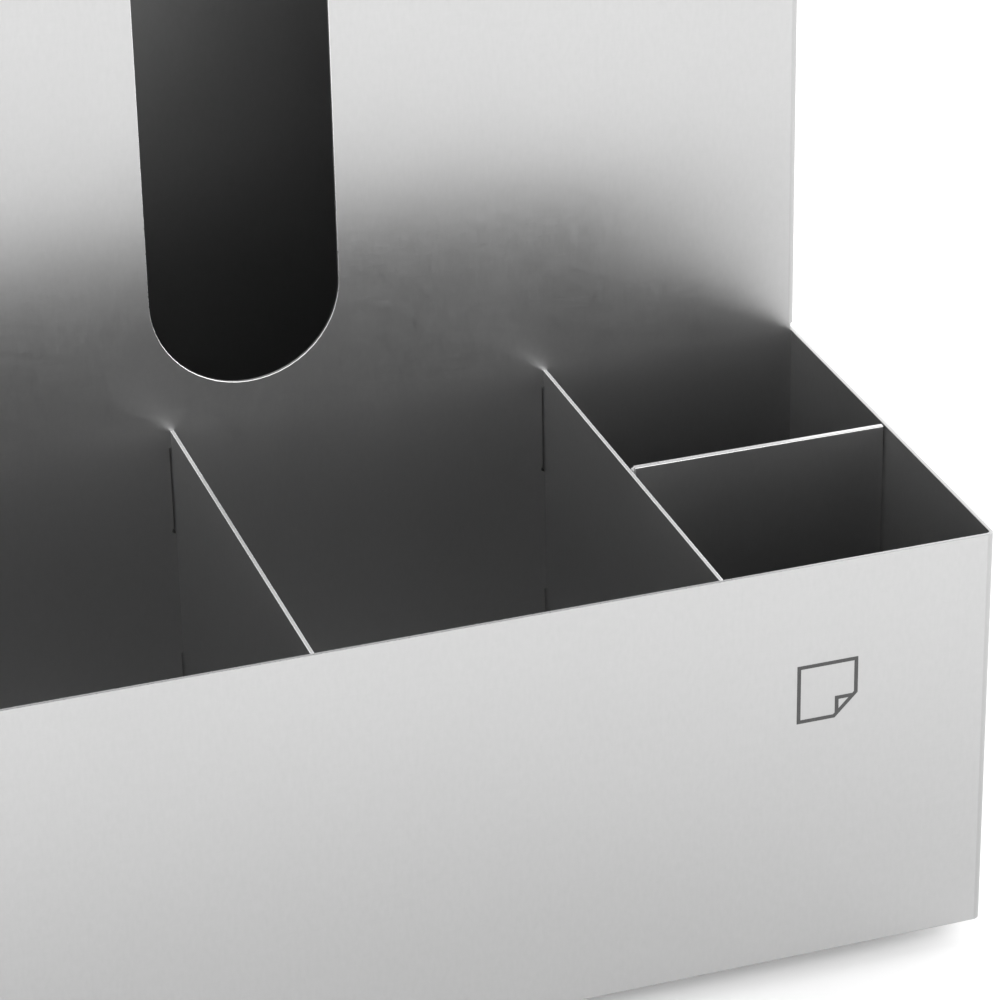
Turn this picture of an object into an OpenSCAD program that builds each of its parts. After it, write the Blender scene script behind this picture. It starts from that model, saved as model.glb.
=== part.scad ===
// Countertop napkin dispenser with a condiment bin in front of the napkin tower.
// Bent steel sheet, tabbed and welded together, on four rubber feet.
// X runs to the right, Y to the rear and Z up. The origin is on the table,
// under the middle of the body.

/* [Body] */
// Overall width
body_w = 303; // [280:1:360]
// Overall depth, front face to rear face
body_d = 250; // [230:1:300]
// Height of the napkin tower above the table
tower_h = 250; // [210:1:300]
// Height of the bin's rim above the table
rim_h = 116; // [105:1:130]
// Height of the body's lower edge above the table
skirt_z = 6; // [5:0.5:8]
// Thickness of the steel sheet
sheet = 1.0; // [0.8:0.1:1.2]
// Outside radius of the upright corner bends
corner_r = 2.0; // [1.6:0.1:3]
// Outside radius of the bends along the lower edge
hem_bend_r = 1.5; // [1.3:0.1:1.8]
// Reach of the return flanges under the floor
return_reach = 12; // [8:0.5:14]
// Reach of the upright weld flanges
weld_reach = 14; // [8:0.5:16]

/* [Bin] */
// Depth of the bin, front face to the tower's front face
bin_d = 127.5; // [110:0.5:140]
// Clear width of the right-hand section
right_w = 69.5; // [60:0.5:80]
// Clear width of the middle section
middle_w = 100.5; // [80:0.5:110]
// Clear depth of the front right-hand pocket
pocket_d = 63.6; // [50:0.1:75]
// Height of each divider tab's slot in the tower
tab_slot_h = 25; // [15:1:26]
// Distance from the rim down to the upper tab's slot
tab_drop = 5; // [4:0.5:6]
// Height from the upper tab's slot to the lower one's
tab_pitch = 60; // [50:1:62]

/* [Thumb slot] */
// Width of the thumb slot in the tower
slot_w = 50; // [40:1:60]
// Height of the slot's lowest point above the table
slot_bottom = 126.5; // [122:0.5:135]
// Radius where the slot meets the tower's top edge
slot_lip_r = 5; // [2:0.5:8]

/* [Cross divider] */
// Thickness of the cross divider's sheet
cross_sheet = 0.7; // [0.6:0.1:0.8]
// Gap between the two layers of its folded top edge
cross_hem_gap = 0.1; // [0.1:0.1:0.2]
// Height of the folded top edge
cross_hem_h = 9; // [6:0.5:12]
// Radius along both sides of the fold
cross_fold_r = 0.3; // [0.3:0.1:0.7]
// Outside radius of its upright bend
cross_bend_r = 1.4; // [1.2:0.1:2]
// Reach of its end flange
cross_reach = 12; // [8:0.5:14]
// Distance from the rim down to the end flange
cross_flange_drop = 8; // [4:1:14]
// Gap between its free end and the bin's side
cross_gap = 0.5; // [0.2:0.1:1]

/* [Feet] */
// Distance from the body's faces to a foot's axis
foot_inset = 25; // [24:1:32]
// Largest diameter of a rubber foot
foot_d = 18; // [16:0.5:20]
// Diameter of the weld stud in each foot
stud_d = 4; // [3.5:0.5:4]

/* [Hidden] */
$fn = 64;

steel = [0.78, 0.78, 0.77];
plated = [0.66, 0.67, 0.68];
rubber = [0.10, 0.10, 0.10];
cut = 0.5;                                  // how far a cut runs past a face

front_y = -body_d / 2;                      // front face of the body
rear_y = body_d / 2;                        // rear face of the body
tower_y = front_y + bin_d;                  // front face of the tower
tower_d = body_d - bin_d;
inner_w = body_w - 2 * sheet;
inner_front_y = front_y + sheet;
base_z = skirt_z + sheet;                   // underside of the floor
floor_z = base_z + sheet;                   // top of the floor
floor_gap = hem_bend_r - sheet;             // floor's edge to the walls
corner_clear = 6;                           // plain lower edge beside a corner
relief_w = 1;                               // width of a bend relief
flange_lift = 0.5;                          // weld flange's lower end above the floor

right_face_x = body_w / 2 - sheet - right_w;            // right divider's right face
left_face_x = right_face_x - sheet - middle_w;          // left divider's right face
divider_flange_drop = 8;                    // divider's flange below the rim
tab_out = 2.5;                              // tab past the tower's inner face
tab_gap = 0.3;                              // tab's end to its slot's end
tab_slot_left = 0.5;                        // slot's clearance left of the tab
tab_slot_right = 0.3;                       // and right of it
tab_relief_r = 1.0;                         // round relief at a slot's foot
tab_slots_z = [rim_h - tab_drop - tab_slot_h, rim_h - tab_drop - tab_slot_h - tab_pitch];

floor_tab_l = 16;                           // length of a tab into the floor
floor_tab_gap = 0.2;                        // clearance round it
divider_tabs_y = [front_y + bin_d * 0.3, front_y + bin_d * 0.75];
tower_tabs_x = [-body_w * 0.36, body_w * 0.08, body_w * 0.36];

seam_h = 2;                                 // height of the seam above the rim
notch_d = 1.2;                              // depth of the notch at the seam's front
notch_l = 3;                                // length of that notch
lap_h = 12;                                 // overlap of tower side and bin side
lap_start_y = tower_y + weld_reach + relief_w;
lap_end_y = rear_y - weld_reach - relief_w;
joggle_rise = 0.6;                          // inner joggle bend above the outer one

cross_front_y = inner_front_y + pocket_d;   // cross divider's front face
cross_w = right_w - cross_gap;
cross_hem_t = 2 * cross_sheet + cross_hem_gap;

foot_x = body_w / 2 - foot_inset;
foot_y = body_d / 2 - foot_inset;
foot_spots = [[-foot_x, -foot_y], [foot_x, -foot_y], [-foot_x, foot_y], [foot_x, foot_y]];
foot_hole_d = stud_d + 0.4;
foot_pocket_d = 10.4;                       // pocket for the washer and the nut
foot_clamp_t = 2.8;                         // rubber clamped under the floor
foot_pocket_z = base_z - foot_clamp_t;
weld_collar_d = 5.6;                        // collar where the stud is welded
weld_collar_h = 0.6;
collar_gap = 0.2;                           // clearance round the collar
stud_out = 0.4;                             // stud's end past the nut
washer_d = 9;
washer_hole_d = stud_d + 0.3;
washer_t = 0.8;
nut_across = 7;                             // across the flats
nut_hole_d = stud_d + 0.1;
nut_t = 2.2;

// Rectangle with rounded corners, centred
module round_rect(w, d, r) {
    square([w - 2 * r, d], center = true);
    square([w, d - 2 * r], center = true);
    for (x = [-1, 1], y = [-1, 1])
        translate([x * (w / 2 - r), y * (d / 2 - r)]) circle(r = r);
}

// Plan of a sheet bent into a U: its face is at y = 0 and its legs reach to y = d
module u_plan(w, d, r, t) {
    difference() {
        translate([0, d]) round_rect(w, 2 * d, r);
        translate([0, d]) round_rect(w - 2 * t, 2 * (d - t), r - t);
        translate([-w, d]) square([2 * w, 2 * d]);
    }
}

// Plan of a sheet bent into an L: the outer corner is at the origin, the blade runs
// along +y and the flange along -x
module l_plan(blade, flange, r, t) {
    translate([-t, r]) square([t, blade - r]);
    translate([-flange, 0]) square([flange - r, t]);
    intersection() {
        translate([-r, r]) difference() {
            circle(r = r);
            circle(r = r - t);
        }
        translate([-r, 0]) square(r);
    }
}

// Bend and return flange along a lower edge: the wall's outer face is at y = 0,
// and the flange reaches to y = reach
module return_flange(length) {
    translate([-length / 2, 0, 0]) rotate([90, 0, 90]) linear_extrude(length) {
        translate([hem_bend_r, 0]) square([return_reach - hem_bend_r, sheet]);
        difference() {
            translate([hem_bend_r, hem_bend_r]) circle(r = hem_bend_r);
            translate([hem_bend_r, hem_bend_r]) circle(r = hem_bend_r - sheet);
            translate([hem_bend_r, -cut]) square(2 * hem_bend_r + cut);
            translate([-cut, hem_bend_r]) square(2 * hem_bend_r + cut);
        }
    }
}

// Strip of wall that a return flange and its two reliefs take the place of
module flange_cut(length) {
    translate([-length / 2 - relief_w, -cut, -cut])
        cube([length + 2 * relief_w, sheet + 2 * cut, hem_bend_r + cut]);
}

// Front wall and both side walls of the bin, with return flanges below the sides
module bin_wrap() {
    side_l = body_d - 2 * corner_clear - return_reach;
    side_y = front_y + corner_clear + side_l / 2;
    color(steel) {
        difference() {
            translate([0, front_y, skirt_z])
                linear_extrude(rim_h - skirt_z) u_plan(body_w, body_d, corner_r, sheet);
            for (side = [-1, 1])
                translate([side * body_w / 2, side_y, skirt_z])
                    rotate([0, 0, side * 90]) flange_cut(side_l);
        }
        for (side = [-1, 1])
            translate([side * body_w / 2, side_y, skirt_z])
                rotate([0, 0, side * 90]) return_flange(side_l);
    }
}

// Outline of the thumb slot in X and Z, open at the top
module slot_outline() {
    translate([0, slot_bottom + slot_w / 2]) circle(d = slot_w, $fn = 128);
    translate([-slot_w / 2, slot_bottom + slot_w / 2])
        square([slot_w, tower_h - slot_bottom - slot_w / 2 + cut]);
    difference() {
        translate([-slot_w / 2 - slot_lip_r, tower_h - slot_lip_r])
            square([slot_w + 2 * slot_lip_r, slot_lip_r + cut]);
        for (side = [-1, 1])
            translate([side * (slot_w / 2 + slot_lip_r), tower_h - slot_lip_r])
                circle(r = slot_lip_r);
    }
}

// Joggle and lap that tie a tower side to the bin side below it (left-hand side)
module side_lap() {
    translate([-body_w / 2, lap_end_y, rim_h]) rotate([90, 0, 0])
        linear_extrude(lap_end_y - lap_start_y)
            polygon([
                [0, seam_h + joggle_rise], [0, seam_h], [sheet, 0], [sheet, -lap_h],
                [2 * sheet, -lap_h], [2 * sheet, joggle_rise], [sheet, seam_h + joggle_rise]
            ]);
}

// Tower front with the thumb slot, and the two tower sides bent back from it
module tower_front() {
    flat_top = rim_h + seam_h;
    color(steel) difference() {
        union() {
            // upper part, as wide as the body
            translate([0, tower_y, flat_top])
                linear_extrude(tower_h - flat_top) u_plan(body_w, tower_d, corner_r, sheet);
            // its sides come down to the rim in front of the lap and behind it
            for (side = [-1, 1], span = [[tower_y + notch_l, lap_start_y - relief_w],
                                         [lap_end_y + relief_w, rear_y]])
                translate([side * (body_w - sheet) / 2, (span[0] + span[1]) / 2, rim_h + seam_h / 2])
                    cube([sheet, span[1] - span[0], seam_h], center = true);
            side_lap();
            mirror([1, 0, 0]) side_lap();
            // flat part between the bin's sides, and across the seam above them
            translate([-inner_w / 2, tower_y, floor_z])
                cube([inner_w, sheet, rim_h - floor_z]);
            translate([-body_w / 2 + notch_d, tower_y, rim_h])
                cube([body_w - 2 * notch_d, sheet, seam_h]);
            for (x = tower_tabs_x)
                translate([x - floor_tab_l / 2, tower_y, base_z])
                    cube([floor_tab_l, sheet, sheet]);
        }
        translate([0, tower_y + sheet + cut, 0]) rotate([90, 0, 0])
            linear_extrude(sheet + 2 * cut) slot_outline();
        for (x = [left_face_x, right_face_x], z = tab_slots_z)
            translate([x - sheet - tab_slot_left, tower_y - cut, z]) tab_slot();
    }
}

// Slot for a divider's tab, with a round relief at its foot
module tab_slot() {
    slot_t = tab_slot_left + sheet + tab_slot_right;
    cube([slot_t, sheet + 2 * cut, tab_slot_h]);
    translate([tab_slot_left, 0, tab_relief_r]) rotate([-90, 0, 0])
        cylinder(r = tab_relief_r, h = sheet + 2 * cut);
}

// Rear wall of the tower, with side flanges and a return flange below
module back_panel() {
    flange_z = floor_z + flange_lift;
    bottom_l = inner_w - 2 * (return_reach + relief_w);
    color(steel) {
        translate([0, rear_y, flange_z]) rotate([0, 0, 180])
            linear_extrude(tower_h - flange_z) u_plan(inner_w, weld_reach, corner_r, sheet);
        difference() {
            translate([-inner_w / 2 + corner_r, rear_y - sheet, skirt_z])
                cube([inner_w - 2 * corner_r, sheet, flange_z - skirt_z]);
            translate([0, rear_y, skirt_z]) rotate([0, 0, 180]) flange_cut(bottom_l);
        }
        translate([0, rear_y, skirt_z]) rotate([0, 0, 180]) return_flange(bottom_l);
    }
}

// Floor of the bin and the tower, with slots for the tabs that stand in it
module base_plate() {
    w = inner_w - 2 * floor_gap;
    d = body_d - 2 * sheet - floor_gap;
    color(steel) difference() {
        translate([-w / 2, inner_front_y, base_z]) cube([w, d, sheet]);
        for (x = [left_face_x, right_face_x], y = divider_tabs_y)
            translate([x - sheet / 2, y, base_z + sheet / 2])
                cube([sheet + 2 * floor_tab_gap, floor_tab_l + 2 * floor_tab_gap, sheet + 2 * cut],
                     center = true);
        for (x = tower_tabs_x)
            translate([x, tower_y + sheet / 2, base_z + sheet / 2])
                cube([floor_tab_l + 2 * floor_tab_gap, sheet + 2 * floor_tab_gap, sheet + 2 * cut],
                     center = true);
    }
}

// Divider across the depth of the bin; face_x is its right face
module divider(face_x) {
    flange_z = floor_z + flange_lift;
    flange_top = rim_h - divider_flange_drop;
    blade_l = tower_y - inner_front_y;
    color(steel) translate([face_x, inner_front_y, 0]) {
        // blade, bend and weld flange against the front wall
        translate([0, 0, flange_z]) linear_extrude(flange_top - flange_z)
            l_plan(blade_l, weld_reach, corner_r, sheet);
        // the blade reaches from the floor to the rim, and above its flange to the front wall
        translate([-sheet, corner_r, floor_z])
            cube([sheet, blade_l - corner_r, rim_h - floor_z]);
        translate([-sheet, 0, flange_top + relief_w])
            cube([sheet, corner_r, rim_h - flange_top - relief_w]);
        for (z = tab_slots_z)
            translate([-sheet, blade_l, z + tab_gap])
                cube([sheet, sheet + tab_out, tab_slot_h - 2 * tab_gap]);
        for (y = divider_tabs_y)
            translate([-sheet, y - inner_front_y - floor_tab_l / 2, base_z])
                cube([sheet, floor_tab_l, sheet]);
    }
}

module left_divider() {
    divider(left_face_x);
}

module right_divider() {
    divider(right_face_x);
}

// Divider between the two right-hand pockets: its top edge is folded over to the rear,
// and its left end is bent to the front and welded to the right divider
module cross_divider() {
    hem_l = cross_w - cross_bend_r;
    top = rim_h - floor_z;
    color(steel) translate([right_face_x, cross_front_y, floor_z]) {
        difference() {
            // blade, bend and end flange
            translate([0, cross_sheet, 0]) mirror([0, 1, 0]) rotate([0, 0, -90])
                linear_extrude(top) l_plan(cross_w, cross_reach, cross_bend_r, cross_sheet);
            // the flange starts lower than the bend, and slopes down from it
            translate([-cut, 0, top]) rotate([90, 0, 90]) linear_extrude(cross_bend_r + cut)
                polygon([[-cross_bend_r, cut], [-cross_reach, cut],
                         [-cross_reach, -cross_flange_drop - cross_reach / 2],
                         [-cross_bend_r, -cross_flange_drop]]);
            // the fold takes the place of the blade's straight top edge
            translate([cross_bend_r, -cut, top - cross_hem_t])
                cube([hem_l + cut, cross_sheet + 2 * cut, cross_hem_t + cut]);
        }
        // fold over the top and down the rear
        translate([cross_bend_r, 0, top]) rotate([90, 0, 90]) linear_extrude(hem_l)
            difference() {
                union() {
                    translate([0, -cross_hem_h])
                        square([cross_hem_t, cross_hem_h - cross_fold_r]);
                    translate([cross_hem_t / 2, -cross_hem_h / 2])
                        round_rect(cross_hem_t, cross_hem_h, cross_fold_r);
                }
                // the two layers stand a little apart
                translate([cross_sheet, -cross_hem_h - cut])
                    square([cross_hem_gap, cross_hem_h - cross_sheet + cut]);
                translate([-cut, -cross_hem_h - cut])
                    square([cross_sheet + cut, cross_hem_h - cross_hem_t + cut]);
            }
    }
}

// Rubber foot with a hole for the stud and a pocket for the washer and nut
module foot(spot) {
    edge_r = 1.2;
    top_d = foot_d - 2;
    color(rubber) translate([spot[0], spot[1], 0]) rotate_extrude() difference() {
        union() {
            square([foot_d / 2 - edge_r, base_z]);
            translate([0, edge_r])
                polygon([[0, 0], [foot_d / 2, 0], [top_d / 2, base_z - edge_r], [0, base_z - edge_r]]);
            translate([foot_d / 2 - edge_r, edge_r]) circle(r = edge_r);
        }
        translate([0, -cut]) square([foot_hole_d / 2, base_z + 2 * cut]);
        translate([0, -cut]) square([foot_pocket_d / 2, foot_pocket_z + cut]);
        translate([0, base_z - weld_collar_h])
            square([weld_collar_d / 2 + collar_gap, 2 * weld_collar_h]);
    }
}

module front_left_foot() {
    foot(foot_spots[0]);
}

module front_right_foot() {
    foot(foot_spots[1]);
}

module rear_left_foot() {
    foot(foot_spots[2]);
}

module rear_right_foot() {
    foot(foot_spots[3]);
}

// Studs welded to the floor's underside
module foot_studs() {
    stud_end_z = foot_pocket_z - washer_t - nut_t - stud_out;
    color(plated) for (spot = foot_spots)
        translate([spot[0], spot[1], 0]) {
            translate([0, 0, stud_end_z]) cylinder(d = stud_d, h = base_z - stud_end_z);
            translate([0, 0, base_z - weld_collar_h]) cylinder(d = weld_collar_d, h = weld_collar_h);
        }
}

module foot_washers() {
    color(plated) for (spot = foot_spots)
        translate([spot[0], spot[1], foot_pocket_z - washer_t]) difference() {
            cylinder(d = washer_d, h = washer_t);
            translate([0, 0, -cut]) cylinder(d = washer_hole_d, h = washer_t + 2 * cut);
        }
}

module foot_nuts() {
    color(plated) for (spot = foot_spots)
        translate([spot[0], spot[1], foot_pocket_z - washer_t - nut_t]) difference() {
            cylinder(d = nut_across / cos(30), h = nut_t, $fn = 6);
            translate([0, 0, -cut]) cylinder(d = nut_hole_d, h = nut_t + 2 * cut);
        }
}

bin_wrap();
tower_front();
back_panel();
base_plate();
left_divider();
right_divider();
cross_divider();
front_left_foot();
front_right_foot();
rear_left_foot();
rear_right_foot();
foot_studs();
foot_washers();
foot_nuts();
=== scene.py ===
import math

import bmesh
import bpy
from mathutils import Matrix, Vector


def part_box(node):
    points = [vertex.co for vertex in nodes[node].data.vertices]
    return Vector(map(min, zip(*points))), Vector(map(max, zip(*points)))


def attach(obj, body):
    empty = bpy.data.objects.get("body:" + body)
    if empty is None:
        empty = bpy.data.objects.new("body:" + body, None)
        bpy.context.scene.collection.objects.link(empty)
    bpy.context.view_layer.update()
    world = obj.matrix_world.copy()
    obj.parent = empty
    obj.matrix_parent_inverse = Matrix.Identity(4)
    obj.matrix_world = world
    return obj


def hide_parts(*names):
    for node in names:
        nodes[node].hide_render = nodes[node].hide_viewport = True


MM = 0.001

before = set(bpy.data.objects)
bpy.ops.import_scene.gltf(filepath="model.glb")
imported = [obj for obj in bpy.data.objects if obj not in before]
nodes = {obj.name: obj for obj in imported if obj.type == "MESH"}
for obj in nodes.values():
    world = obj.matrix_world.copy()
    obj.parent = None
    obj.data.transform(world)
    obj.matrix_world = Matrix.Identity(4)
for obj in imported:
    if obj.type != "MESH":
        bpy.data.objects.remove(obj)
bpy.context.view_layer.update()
scene = bpy.context.scene

# ---------------------------------------------------------------- places from the frame
front_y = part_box("bin_wrap")[0].y
rear_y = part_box("back_panel")[1].y
rim_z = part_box("bin_wrap")[1].z
skirt_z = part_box("bin_wrap")[0].z
top_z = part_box("tower_front")[1].z
tower_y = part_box("tower_front")[0].y
side_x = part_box("bin_wrap")[1].x
cross_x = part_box("cross_divider")[0].x
floor_low, floor_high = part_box("base_plate")
sheet = floor_high.z - floor_low.z
corner_r = 2 * sheet                        # outside radius of the upright bends
cross_sheet = 0.7 * MM                      # thickness of the cross divider

FEET = ("front_left_foot", "front_right_foot", "rear_left_foot", "rear_right_foot")
HARDWARE = ("foot_studs", "foot_washers", "foot_nuts")


# ---------------------------------------------------------------- node helpers
def new_material(name):
    """Material, its node tree and its shader."""
    material = bpy.data.materials.new(name)
    material.use_nodes = True
    tree = material.node_tree
    shader = tree.nodes["Principled BSDF"]
    return material, tree, shader


def mm_coordinates(tree, scale):
    """Object coordinates in millimetres, times scale along each axis."""
    coordinate = tree.nodes.new("ShaderNodeTexCoord")
    mapping = tree.nodes.new("ShaderNodeMapping")
    mapping.inputs["Scale"].default_value = [s / MM for s in scale]
    tree.links.new(coordinate.outputs["Object"], mapping.inputs["Vector"])
    return mapping.outputs["Vector"]


def noise(tree, scale, detail=3.0, roughness=0.55):
    """Noise whose features are about 1 / scale millimetres along each axis."""
    texture = tree.nodes.new("ShaderNodeTexNoise")
    texture.inputs["Scale"].default_value = 1.0
    texture.inputs["Detail"].default_value = detail
    texture.inputs["Roughness"].default_value = roughness
    tree.links.new(mm_coordinates(tree, scale), texture.inputs["Vector"])
    return texture.outputs["Fac"]


def ramp(tree, value, low, high, out_low=0.0, out_high=1.0, shape="LINEAR"):
    """value from low to high, mapped on to out_low to out_high."""
    node = tree.nodes.new("ShaderNodeMapRange")
    node.interpolation_type = shape
    node.inputs["From Min"].default_value = low
    node.inputs["From Max"].default_value = high
    node.inputs["To Min"].default_value = out_low
    node.inputs["To Max"].default_value = out_high
    tree.links.new(value, node.inputs["Value"])
    return node.outputs["Result"]


def math_node(tree, operation, a, b):
    node = tree.nodes.new("ShaderNodeMath")
    node.operation = operation
    for socket, value in zip(node.inputs, (a, b)):
        if isinstance(value, (int, float)):
            socket.default_value = value
        else:
            tree.links.new(value, socket)
    return node.outputs["Value"]


def mixed(tree, a, b, share):
    """a and b added in proportion, with the given share of b."""
    return math_node(tree, "ADD", math_node(tree, "MULTIPLY", a, 1 - share),
                     math_node(tree, "MULTIPLY", b, share))


def tone(tree, factor, dark, light):
    """Colour between dark and light."""
    node = tree.nodes.new("ShaderNodeMix")
    node.data_type = "RGBA"
    node.inputs["A"].default_value = (*dark, 1)
    node.inputs["B"].default_value = (*light, 1)
    tree.links.new(factor, node.inputs["Factor"])
    return node.outputs["Result"]


def add_bump(tree, shader, height, strength, distance):
    bump = tree.nodes.new("ShaderNodeBump")
    bump.inputs["Strength"].default_value = strength
    bump.inputs["Distance"].default_value = distance
    tree.links.new(height, bump.inputs["Height"])
    tree.links.new(bump.outputs["Normal"], shader.inputs["Normal"])


# ---------------------------------------------------------------- materials
def brushed_steel(name, grain_axis, cross_axis, value=0.48, tone_spread=0.04, roughness=0.38,
                  rough_spread=0.05, metallic=0.96, anisotropy=0.75):
    """Stainless sheet with strokes along grain_axis, crossed by strokes along cross_axis, and
    broad patches. The noise scales are in features per millimetre."""
    material, tree, shader = new_material(name)
    grain_scale = [2.5, 2.5, 2.5]
    grain_scale[grain_axis] = 0.25
    cross_scale = [2.0, 2.0, 2.0]
    cross_scale[cross_axis] = 0.15
    broad_scale = [0.8, 0.8, 0.8]
    broad_scale[grain_axis] = 0.4
    grain = noise(tree, grain_scale)
    crossing = noise(tree, cross_scale)
    broad = noise(tree, broad_scale, detail=2.0)
    mottle = noise(tree, (0.02, 0.02, 0.02), detail=2.0)
    strokes = mixed(tree, grain, crossing, 0.5)
    finish = mixed(tree, strokes, broad, 0.4)
    dark, light = [value * (1 - tone_spread)] * 3, [value * (1 + tone_spread)] * 3
    tree.links.new(tone(tree, ramp(tree, finish, 0.3, 0.7), dark, light),
                   shader.inputs["Base Color"])
    rough = math_node(tree, "ADD", ramp(tree, strokes, 0.35, 0.65, -rough_spread, rough_spread),
                      ramp(tree, mottle, 0.3, 0.7, roughness - 0.02, roughness + 0.02))
    tree.links.new(rough, shader.inputs["Roughness"])
    shader.inputs["Metallic"].default_value = metallic
    shader.inputs["Anisotropic"].default_value = anisotropy
    direction = tree.nodes.new("ShaderNodeCombineXYZ")
    direction.inputs[cross_axis].default_value = 1.0
    tree.links.new(direction.outputs["Vector"], shader.inputs["Tangent"])
    add_bump(tree, shader, finish, 0.16, 0.02 * MM)
    return material


def cut_edge(name, dark, light):
    """Deburred edge of the sheet, smoother than its faces, between a dark and a light tone; the
    sheets' own edges are made lighter with painted highlight, the bin's rim darker with painted
    shade.
    """
    material, tree, shader = new_material(name)
    nicks = noise(tree, (1.5, 1.5, 1.5))
    tree.links.new(tone(tree, ramp(tree, nicks, 0.3, 0.7), (dark,) * 3, (light,) * 3),
                   shader.inputs["Base Color"])
    tree.links.new(ramp(tree, nicks, 0.3, 0.7, 0.24, 0.38), shader.inputs["Roughness"])
    shader.inputs["Metallic"].default_value = 1.0
    add_bump(tree, shader, nicks, 0.1, 0.02 * MM)
    return material


def rubber():
    material, tree, shader = new_material("rubber")
    grain = noise(tree, (3.0, 3.0, 3.0), detail=6.0)
    dust = noise(tree, (0.25, 0.25, 0.25))
    tree.links.new(tone(tree, ramp(tree, dust, 0.35, 0.75), (0.018, 0.018, 0.019),
                        (0.045, 0.044, 0.042)), shader.inputs["Base Color"])
    tree.links.new(ramp(tree, grain, 0.3, 0.7, 0.62, 0.85), shader.inputs["Roughness"])
    shader.inputs["Specular IOR Level"].default_value = 0.35
    add_bump(tree, shader, grain, 0.35, 0.05 * MM)
    return material


def zinc():
    material, tree, shader = new_material("zinc_plate")
    spangle = noise(tree, (1.2, 1.2, 1.2))
    tree.links.new(tone(tree, ramp(tree, spangle, 0.3, 0.7), (0.48, 0.50, 0.53),
                        (0.62, 0.62, 0.60)), shader.inputs["Base Color"])
    tree.links.new(ramp(tree, spangle, 0.3, 0.7, 0.28, 0.48), shader.inputs["Roughness"])
    shader.inputs["Metallic"].default_value = 1.0
    add_bump(tree, shader, spangle, 0.15, 0.03 * MM)
    return material


def weld_metal(name, dark, light, roughness):
    """Metal of a spot weld, with the uneven tint that the heat leaves."""
    material, tree, shader = new_material(name)
    tint = noise(tree, (0.9, 0.9, 0.9))
    grain = noise(tree, (6.0, 6.0, 6.0))
    tree.links.new(tone(tree, ramp(tree, tint, 0.35, 0.65), dark, light),
                   shader.inputs["Base Color"])
    tree.links.new(ramp(tree, grain, 0.3, 0.7, roughness - 0.06, roughness + 0.06),
                   shader.inputs["Roughness"])
    shader.inputs["Metallic"].default_value = 1.0
    add_bump(tree, shader, grain, 0.3, 0.02 * MM)
    return material


def etched():
    """Dark annealed surface of the mark on the front, with the beam's fine hatching."""
    material, tree, shader = new_material("etched_mark")
    hatch = noise(tree, (12.0, 12.0, 0.8))
    tree.links.new(tone(tree, ramp(tree, hatch, 0.3, 0.7), (0.03, 0.03, 0.03),
                        (0.06, 0.06, 0.06)), shader.inputs["Base Color"])
    tree.links.new(ramp(tree, hatch, 0.3, 0.7, 0.5, 0.65), shader.inputs["Roughness"])
    shader.inputs["Specular IOR Level"].default_value = 0.3
    add_bump(tree, shader, hatch, 0.2, 0.01 * MM)
    return material


UPRIGHT = brushed_steel("brushed_upright", 2, 0)
# The dividers' copy of the upright steel: strokes turned to their faces, and a higher value that is
# painted light on their faces
UPRIGHT_SIDE_PAINTED_LIGHT = brushed_steel("brushed_upright_side_painted_light", 2, 1, value=0.54)
LEVEL = brushed_steel("brushed_level", 0, 1)
# Inside of the tower: the sheet's duller mill finish, with a low value that is painted shade of the
# deep tower
MILL_AND_PAINTED_SHADE = brushed_steel("mill_finish_painted_shade", 2, 0, value=0.25, roughness=0.42, anisotropy=0.2)
# Outside of the upright bends: duller from bending, and a lower value that is painted shade for the
# dark band along the curve
BEND_PAINTED_SHADE = brushed_steel("bend_outside_painted_shade", 2, 0, value=0.43)
# Cut edges: polished smoother, and lifted well above the steel's own tone as a painted highlight
EDGE_PAINTED_HIGHLIGHT = cut_edge("sheet_edge_painted_highlight", 0.78, 0.88)
# Rim's top faces and edges: the cut-edge finish in a darker tone, which is painted shade
RIM_PAINTED_SHADE = cut_edge("rim_edge_painted_shade", 0.30, 0.35)
FOLD = cut_edge("fold_edge", 0.50, 0.56)
RUBBER = rubber()
ZINC = zinc()
WELD_DISH = weld_metal("weld_dish", (0.42, 0.42, 0.43), (0.58, 0.57, 0.55), 0.30)
WELD_TINT = weld_metal("weld_tint", (0.30, 0.33, 0.42), (0.55, 0.45, 0.30), 0.36)
ETCHED = etched()


# ---------------------------------------------------------------- pieces
def finish_piece(piece):
    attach(piece, "root")
    return piece


# How far round an awkward corner the edges stay as punched, and how deep a rim's round goes
CORNER_REACH = 3 * MM
SEAM_REACH = 2.5 * MM
SEAM_DROP = 2 * MM
FOLD_REACH = 10 * MM
RIM_ROUND = 0.6 * MM


def near_seam_corner(point):
    """Where the tower's bends end above the bin's rim."""
    return abs(point.z - rim_z) < SEAM_REACH and side_x - abs(point.x) < CORNER_REACH


def near_fold_end(point):
    """Where the cross divider's fold meets its upright bend."""
    return point.x - cross_x < CORNER_REACH and rim_z - point.z < FOLD_REACH


def never(point):
    return False


def on_rim(point):
    """The topmost faces of the bin, with the round of a folded edge."""
    return point.z > rim_z - RIM_ROUND and point.y < tower_y


def tower_sharp(point):
    """Tab slots and floor tabs keep their punched edges."""
    return point.z < rim_z - SEAM_DROP or near_seam_corner(point)


def on_corner_bend(node):
    """Test for the outside of a sheet's two upright bends, which is duller from the bending and
    darker with painted shade.
    """
    face_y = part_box(node)[0].y
    return lambda point: side_x - abs(point.x) < corner_r and point.y - face_y < corner_r


def in_magazine(point):
    """Faces that look into the tower, where the sheet keeps its dull mill finish, made darker with
    painted shade.
    """
    skin = 0.9 * sheet
    return (tower_y + skin < point.y < rear_y - skin
            and abs(point.x) < side_x - skin and point.z > floor_low.z + skin)


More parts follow.
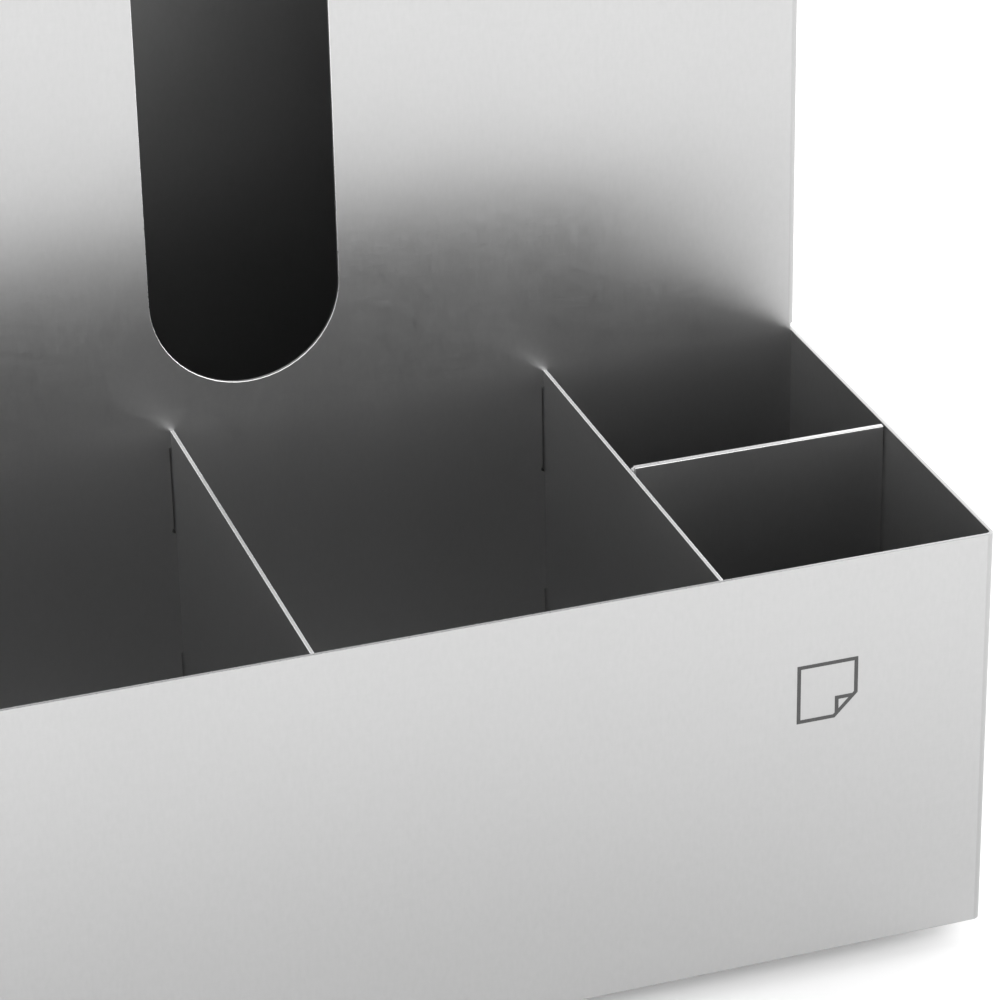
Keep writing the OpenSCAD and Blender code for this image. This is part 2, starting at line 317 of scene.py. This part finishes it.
def sheet_piece(node, face_material, edge_r, left_sharp=never, edge_material=EDGE_PAINTED_HIGHLIGHT, edge_toned=never,
                bent=never):
    """The CAD sheet with its cut edges deburred to a small radius. Faces that its rim test picks
    take its edge material, its bent ones are duller from the bending and darker with painted shade,
    and those inside the tower have the mill finish, darkened with painted shade."""
    mesh = bmesh.new()
    mesh.from_mesh(nodes[node].data)
    bmesh.ops.remove_doubles(mesh, verts=mesh.verts, dist=0.001 * MM)
    bmesh.ops.dissolve_limit(mesh, angle_limit=math.radians(0.4), verts=mesh.verts,
                             edges=mesh.edges)
    for face in mesh.faces:
        centre = face.calc_center_median()
        if edge_toned(centre):
            face.material_index = 1
        elif in_magazine(centre):
            face.material_index = 2
        elif bent(centre):
            face.material_index = 3
    sharp = [e for e in mesh.edges if e.is_manifold and e.calc_face_angle() > math.radians(30)
             and not any(left_sharp(v.co) for v in e.verts)]
    bmesh.ops.bevel(mesh, geom=sharp, offset=edge_r, offset_type="OFFSET", segments=3,
                    profile=0.5, affect="EDGES", clamp_overlap=False, material=1)
    data = bpy.data.meshes.new(node + "_sheet")
    mesh.to_mesh(data)
    mesh.free()
    for material in (face_material, edge_material, MILL_AND_PAINTED_SHADE, BEND_PAINTED_SHADE):
        data.materials.append(material)
    data.shade_smooth()
    piece = bpy.data.objects.new(node + "_sheet", data)
    scene.collection.objects.link(piece)
    weighted = piece.modifiers.new("even_normals", "WEIGHTED_NORMAL")
    weighted.weight = 100
    weighted.keep_sharp = False
    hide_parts(node)
    return finish_piece(piece)


DEBURR = 0.16 * MM                          # radius of a deburred edge in view
# The bin's rim takes the rim edge material, darkened with painted shade
sheet_piece("bin_wrap", UPRIGHT, DEBURR, edge_material=RIM_PAINTED_SHADE, edge_toned=on_rim,
            bent=on_corner_bend("bin_wrap"))
sheet_piece("tower_front", UPRIGHT, DEBURR, left_sharp=tower_sharp,
            bent=on_corner_bend("tower_front"))
sheet_piece("back_panel", UPRIGHT, DEBURR)
sheet_piece("base_plate", LEVEL, 0.1 * MM)
sheet_piece("left_divider", UPRIGHT_SIDE_PAINTED_LIGHT, DEBURR)
sheet_piece("right_divider", UPRIGHT_SIDE_PAINTED_LIGHT, DEBURR)
sheet_piece("cross_divider", UPRIGHT, 0.06 * MM, left_sharp=near_fold_end, edge_material=FOLD,
            edge_toned=on_rim)


def soften(node, material, edge_r):
    """Gives a CAD node its material, and eases its sharp edges."""
    piece = nodes[node]
    piece.data.materials[0] = material
    bevel = piece.modifiers.new("eased_edges", "BEVEL")
    bevel.width = edge_r
    bevel.segments = 2
    bevel.limit_method = "ANGLE"
    bevel.angle_limit = math.radians(40)


for node in FEET:
    soften(node, RUBBER, 0.2 * MM)
for node in HARDWARE:
    soften(node, ZINC, 0.12 * MM)


# ---------------------------------------------------------------- spot welds
# Section of a spot weld's mark, as (radius, height) in millimetres: a dish in a raised ring
WELD_SECTION = ((1.0, 0.02), (1.5, 0.05), (1.8, 0.11), (2.05, 0.11), (2.4, 0.04), (2.6, -0.02),
                (2.6, -0.10))
WELD_DISH_R = 1.8

# Where the welds sit: the middle of each kind of flange, from the sheet it is bent from
REAR_FLANGE = 8 * MM
RETURN_FLANGE = 8 * MM
DIVIDER_FLANGE = 6 * MM
CROSS_FLANGE = 5.5 * MM
LAP_DROP = 6 * MM                           # middle of the side laps below the rim
DIVIDER_FLANGE_DROP = 8 * MM                # upper ends of the dividers' flanges below the rim
CROSS_FLANGE_DROP = 14 * MM


def add_weld(mesh, place, normal, sides=24):
    """One closed weld mark on a face, turned to the face's normal."""
    turn = Vector((0, 0, 1)).rotation_difference(Vector(normal)).to_matrix()
    rings = []
    for radius, height in WELD_SECTION:
        angles = [2 * math.pi * i / sides for i in range(sides)]
        points = [Vector((radius * math.cos(a), radius * math.sin(a), height)) for a in angles]
        rings.append([mesh.verts.new(Vector(place) + turn @ p * MM) for p in points])
    mesh.faces.new(rings[0])
    mesh.faces.new(reversed(rings[-1]))
    for inner, outer, (radius, _) in zip(rings, rings[1:], WELD_SECTION[1:]):
        for i in range(sides):
            j = (i + 1) % sides
            face = mesh.faces.new((inner[i], outer[i], outer[j], inner[j]))
            face.material_index = 0 if radius <= WELD_DISH_R else 1


def spot_welds(name, spots):
    """spots is a list of (place, normal)."""
    mesh = bmesh.new()
    for place, normal in spots:
        add_weld(mesh, place, normal)
    data = bpy.data.meshes.new(name)
    mesh.to_mesh(data)
    mesh.free()
    data.materials.append(WELD_DISH)
    data.materials.append(WELD_TINT)
    data.shade_smooth()
    piece = bpy.data.objects.new(name, data)
    scene.collection.objects.link(piece)
    return finish_piece(piece)


def spread(low, high, count):
    """count places at an even pitch, half a pitch in from low and high."""
    pitch = (high - low) / count
    return [low + pitch * (i + 0.5) for i in range(count)]


def lap_spots():
    """Tower side to bin side, inside the tower and clear of the upright flanges."""
    clear = 2 * REAR_FLANGE
    return [((side * (side_x - 2 * sheet), y, rim_z - LAP_DROP), (-side, 0, 0))
            for side in (-1, 1) for y in spread(tower_y + clear, rear_y - clear, 4)]


def rear_spots():
    """Back panel's flanges to the sides, inside the tower."""
    return [((side * (side_x - 2 * sheet), rear_y - REAR_FLANGE, z), (-side, 0, 0))
            for side in (-1, 1) for z in spread(floor_high.z, top_z, 6)]


def divider_spots(node):
    """Divider's flange to the front wall."""
    flange_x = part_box(node)[0].x + DIVIDER_FLANGE
    return [((flange_x, front_y + 2 * sheet, z), (0, 1, 0))
            for z in spread(floor_high.z, rim_z - DIVIDER_FLANGE_DROP, 3)]


def cross_spots():
    """Cross divider's flange to the right divider."""
    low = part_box("cross_divider")[0]
    return [((low.x + cross_sheet, low.y + CROSS_FLANGE, z), (1, 0, 0))
            for z in spread(floor_high.z, rim_z - CROSS_FLANGE_DROP, 3)]


def underside_spots():
    """Return flanges to the floor, on the underside."""
    clear = 3 * RETURN_FLANGE
    sides = [((side * (side_x - RETURN_FLANGE), y, skirt_z), (0, 0, -1))
             for side in (-1, 1) for y in spread(front_y + RETURN_FLANGE, rear_y - clear, 5)]
    rear = [((x, rear_y - RETURN_FLANGE, skirt_z), (0, 0, -1))
            for x in spread(clear - side_x, side_x - clear, 5)]
    return sides + rear


spot_welds("lap_welds", lap_spots())
spot_welds("rear_welds", rear_spots())
spot_welds("left_divider_welds", divider_spots("left_divider"))
spot_welds("right_divider_welds", divider_spots("right_divider"))
spot_welds("cross_divider_welds", cross_spots())
spot_welds("underside_welds", underside_spots())


# ---------------------------------------------------------------- mark on the front
def inset(points, width):
    """Outline inside a clockwise one, with its sides width further in."""
    count = len(points)
    corners = [Vector(p) for p in points]
    along = [(corners[(i + 1) % count] - corners[i]).normalized() for i in range(count)]
    inward = [Vector((a.y, -a.x)) for a in along]
    moved = []
    for i in range(count):
        before, after = inward[i - 1], inward[i]
        moved.append(corners[i] + (before + after) * width / (1 + before.dot(after)))
    return moved


def mark_row(mesh, centre, points, y):
    """Vertices at points (x, z) in millimetres round centre, on the plane y."""
    return [mesh.verts.new((centre.x + x * MM, y, centre.z + z * MM)) for x, z in points]


def join_rows(mesh, first, second):
    """Closed belt of faces between two rows."""
    for i in range(len(first)):
        j = (i + 1) % len(first)
        mesh.faces.new((first[i], first[j], second[j], second[i]))


def add_band(mesh, centre, outline, width, depth):
    """Closed flat band just inside an outline on the front face."""
    inner = inset(outline, width)
    rows = [mark_row(mesh, centre, points, front_y + y)
            for points, y in ((outline, -depth), (inner, -depth), (inner, depth), (outline, depth))]
    for first, second in zip(rows, rows[1:] + rows[:1]):
        join_rows(mesh, first, second)


def add_plate(mesh, centre, outline, depth):
    """Closed flat plate on the front face."""
    face = mark_row(mesh, centre, outline, front_y - depth)
    back = mark_row(mesh, centre, outline, front_y + depth)
    mesh.faces.new(face)
    mesh.faces.new(reversed(back))
    join_rows(mesh, face, back)


def etched_mark():
    """A plain square napkin with one corner folded over."""
    centre = Vector((108 * MM, 0, 81 * MM))
    half, fold, line_w, depth = 8.0, 6.0, 1.0, 0.02 * MM
    near = half - fold                        # the flap's corner, and where its legs end
    far = 2 * half - fold - line_w * math.sqrt(2) - near
    napkin = ((-half, half), (half, half), (half, -near), (near, -half), (-half, -half))
    flap = ((near, -near), (far, -near), (far - line_w, -near - line_w),
            (near + line_w, -near - line_w), (near + line_w, line_w - far), (near, -far))
    mesh = bmesh.new()
    add_band(mesh, centre, napkin, line_w, depth)
    add_plate(mesh, centre, flap, depth)
    bmesh.ops.recalc_face_normals(mesh, faces=mesh.faces)
    data = bpy.data.meshes.new("etched_mark")
    mesh.to_mesh(data)
    mesh.free()
    data.materials.append(ETCHED)
    piece = bpy.data.objects.new("etched_mark", data)
    scene.collection.objects.link(piece)
    return finish_piece(piece)


etched_mark()


# ---------------------------------------------------------------- stage, camera and light
# Strength of the studio's light from each side, as (axis, side of it, strength)
STUDIO = (("X", 1, 3.9), ("X", -1, 0.3), ("Y", 1, 2.7), ("Y", -1, 3.9))
BACKDROP = 1.1                              # brightness of the backdrop as the camera sees it
GLOW_NEAR, GLOW_FAR = 0.0, 0.36             # the floor's glow by the object, where its lower glow is a painted shadow, and away from it


def vector_math(tree, operation, a, b):
    node = tree.nodes.new("ShaderNodeVectorMath")
    node.operation = operation
    tree.links.new(a, node.inputs[0])
    node.inputs[1].default_value = b
    return node.outputs["Value" if operation == "LENGTH" else "Vector"]


def add_floor():
    """Pale floor that glows softly, like a lit table, and less so close to the object, where the
    dimmer glow is a painted shadow.
    """
    size, painted_shadow_reach = 6.0, 0.25
    data = bpy.data.meshes.new("floor")
    data.from_pydata([(-size, -size, 0), (size, -size, 0), (size, size, 0), (-size, size, 0)],
                     [], [(0, 1, 2, 3)])
    floor = bpy.data.objects.new("floor", data)
    scene.collection.objects.link(floor)
    material, tree, shader = new_material("pale_floor")
    shader.inputs["Base Color"].default_value = (0.9, 0.9, 0.9, 1)
    shader.inputs["Roughness"].default_value = 0.9
    shader.inputs["Specular IOR Level"].default_value = 0.0
    shader.inputs["Emission Color"].default_value = (1, 1, 1, 1)
    coordinate = tree.nodes.new("ShaderNodeTexCoord").outputs["Object"]
    outside = vector_math(tree, "ABSOLUTE", coordinate, (0, 0, 0))
    outside = vector_math(tree, "SUBTRACT", outside, (side_x, rear_y, 0))
    outside = vector_math(tree, "MAXIMUM", outside, (0, 0, 0))
    distance = vector_math(tree, "LENGTH", outside, (0, 0, 0))
    # The glow fades towards the object: a painted shadow round it, seen on the floor and in the
    # steel's reflections
    glow = ramp(tree, distance, 0.0, painted_shadow_reach, GLOW_NEAR, GLOW_FAR, "SMOOTHSTEP")
    tree.links.new(glow, shader.inputs["Emission Strength"])
    data.materials.append(material)


def add_camera():
    """Camera at the photograph's viewing angle, aimed at a point on the tower's front."""
    azimuth, elevation, roll = (math.radians(a) for a in (18.31, 26.79, -1.168))
    distance, focal_length = 1115.8 * MM, 150.76
    aim = Vector((67.3 * MM, tower_y, 80.0 * MM))
    forward = Vector((math.sin(azimuth) * math.cos(elevation),
                      math.cos(azimuth) * math.cos(elevation), -math.sin(elevation)))
    level = forward.cross(Vector((0, 0, 1))).normalized()
    upright = level.cross(forward)
    right = level * math.cos(roll) + upright * math.sin(roll)
    up = upright * math.cos(roll) - level * math.sin(roll)
    data = bpy.data.cameras.new("camera")
    data.sensor_width = 36
    data.lens = focal_length
    camera = bpy.data.objects.new("camera", data)
    scene.collection.objects.link(camera)
    turn = Matrix((right, up, -forward)).transposed().to_4x4()
    camera.matrix_world = Matrix.Translation(aim - forward * distance) @ turn
    scene.camera = camera


def add_world():
    """White backdrop for the camera. The studio round it is bright at the sides and dim above."""
    world = bpy.data.worlds.new("studio")
    scene.world = world
    world.use_nodes = True
    tree = world.node_tree
    background = tree.nodes["Background"]
    coordinate = tree.nodes.new("ShaderNodeTexCoord")
    parts = tree.nodes.new("ShaderNodeSeparateXYZ")
    tree.links.new(coordinate.outputs["Generated"], parts.inputs["Vector"])
    light = 0.0
    for axis, sign, strength in STUDIO:
        facing = math_node(tree, "MULTIPLY", parts.outputs[axis], sign)
        facing = math_node(tree, "MAXIMUM", facing, 0.0)
        lobe = math_node(tree, "MULTIPLY", facing, facing)
        light = math_node(tree, "ADD", light, math_node(tree, "MULTIPLY", lobe, strength))
    path = tree.nodes.new("ShaderNodeLightPath")
    mix = tree.nodes.new("ShaderNodeMix")
    mix.data_type = "FLOAT"
    tree.links.new(path.outputs["Is Camera Ray"], mix.inputs["Factor"])
    tree.links.new(light, mix.inputs["A"])
    mix.inputs["B"].default_value = BACKDROP
    tree.links.new(mix.outputs["Result"], background.inputs["Strength"])
    background.inputs["Color"].default_value = (1, 1, 1, 1)


add_floor()
add_camera()
add_world()
scene.view_settings.view_transform = "Standard"
scene.cycles.max_bounces = 16
scene.cycles.glossy_bounces = 12
